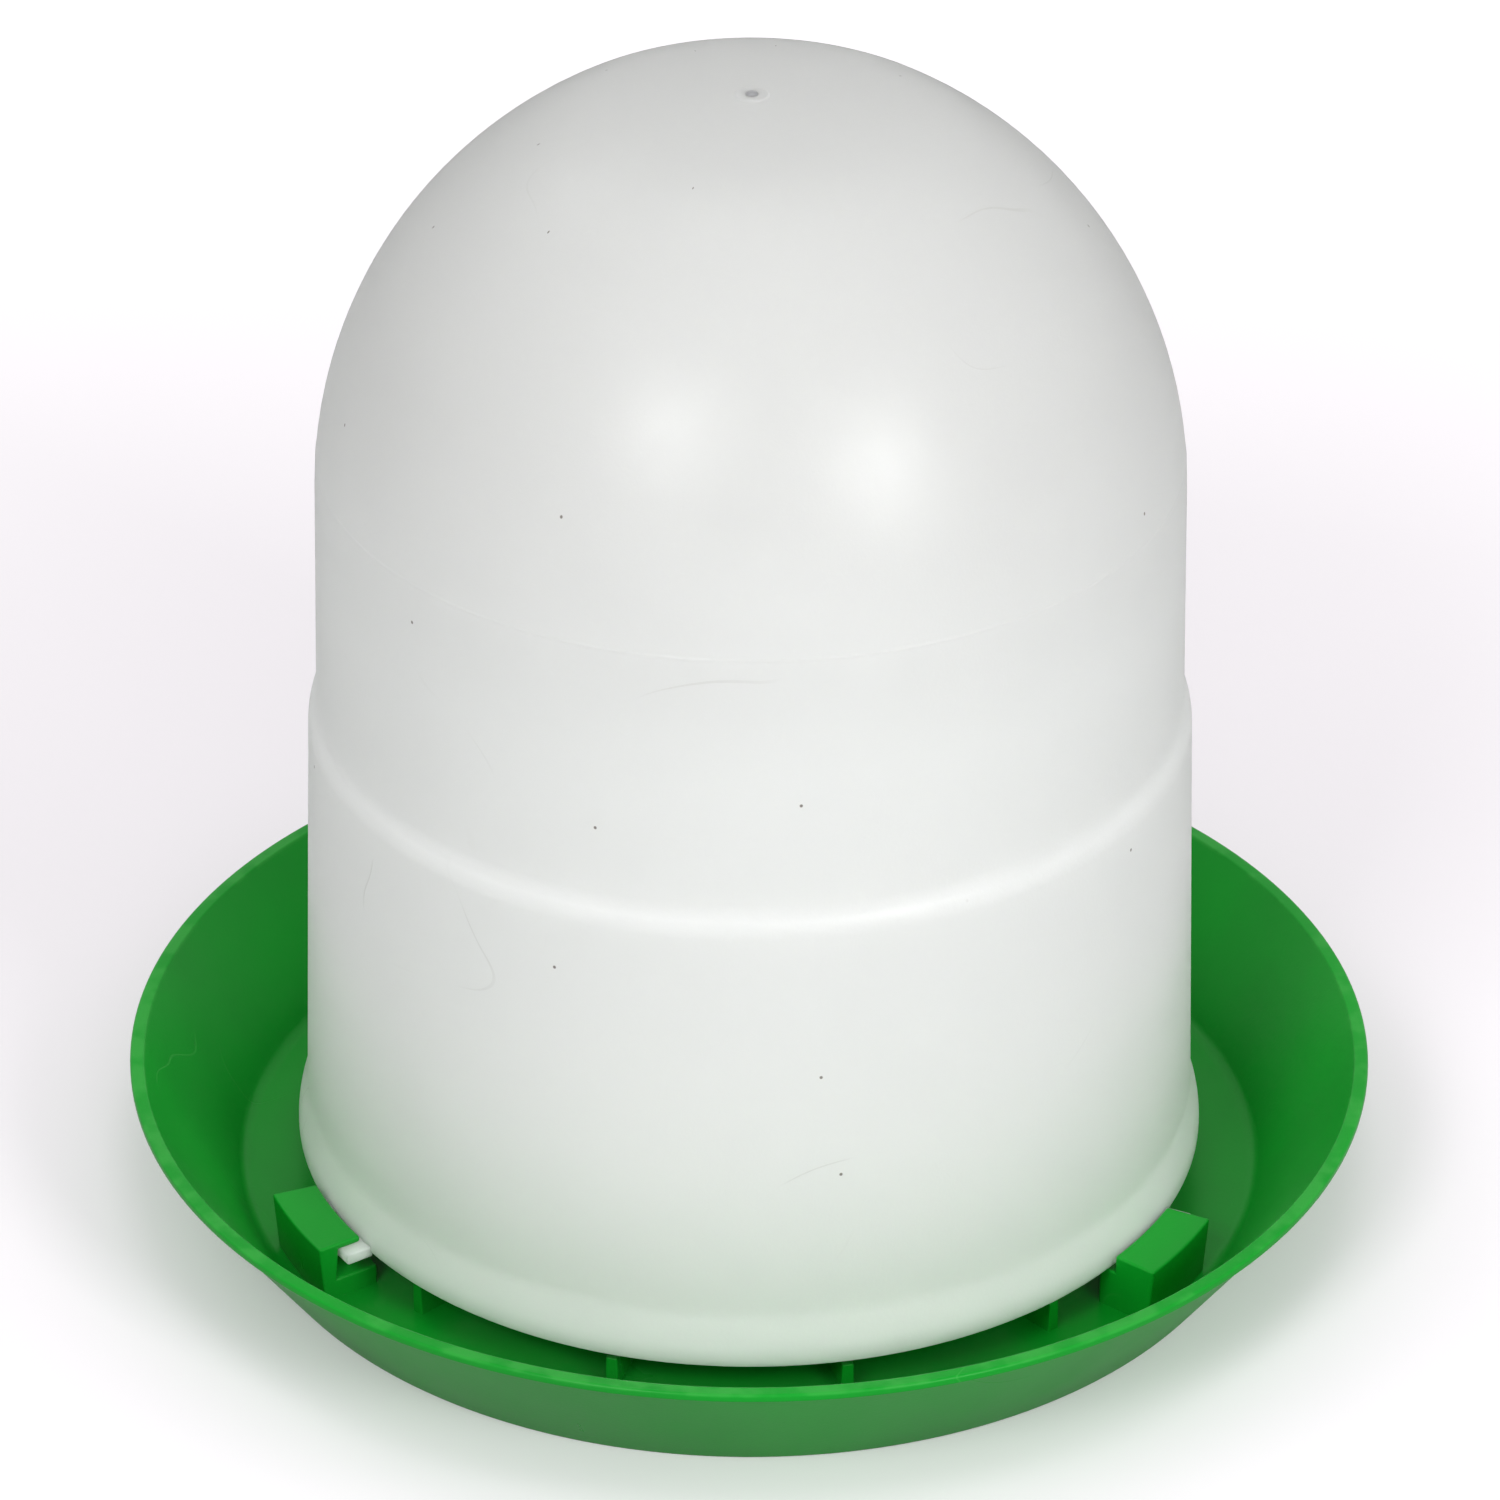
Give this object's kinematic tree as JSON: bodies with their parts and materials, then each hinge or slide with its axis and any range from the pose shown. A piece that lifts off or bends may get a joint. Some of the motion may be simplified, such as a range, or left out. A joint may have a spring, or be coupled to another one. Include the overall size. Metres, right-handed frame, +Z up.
{
  "type": "poultry waterer fount",
  "caption": "Domed siphon drinker for poultry: a translucent white tank stands mouth down in a round green trough, locked by bayonet clips.",
  "frame": {"origin": "on the ground, at the centre of the tray's foot ring", "axes": "+Z up along the tank's axis; -Y is the front, between two of the clips; +X to the right"},
  "size_m": [0.22, 0.22, 0.2111],
  "materials": {
    "green_plastic": "satin gloss, moulded",
    "white_plastic": "translucent, satin gloss, moulded"
  },
  "bodies": {
    "tray": {"tray_bowl": "green_plastic", "tray_rim": "green_plastic", "tray_plateau": "green_plastic", "tray_rib_01": "green_plastic", "tray_rib_02": "green_plastic", "tray_rib_03": "green_plastic", "tray_rib_04": "green_plastic", "tray_rib_05": "green_plastic", "tray_rib_06": "green_plastic", "tray_rib_07": "green_plastic", "tray_rib_08": "green_plastic", "tray_rib_09": "green_plastic", "tray_rib_10": "green_plastic", "tray_rib_11": "green_plastic", "tray_rib_12": "green_plastic", "bayonet_clip_left": "green_plastic", "bayonet_clip_right": "green_plastic", "bayonet_clip_rear": "green_plastic"},
    "fount": {"fount_barrel": "white_plastic", "fount_crown": "white_plastic", "gate_pip": "white_plastic", "bayonet_lug_left": "white_plastic", "bayonet_lug_right": "white_plastic", "bayonet_lug_rear": "white_plastic"}
  },
  "joints": [
    {"name": "fount_turn", "type": "hinge", "parent": "tray", "child": "fount", "pos_m": [0, 0, 0], "axis": [0, 0, 1], "range_deg": [0, 105]}
  ]
}
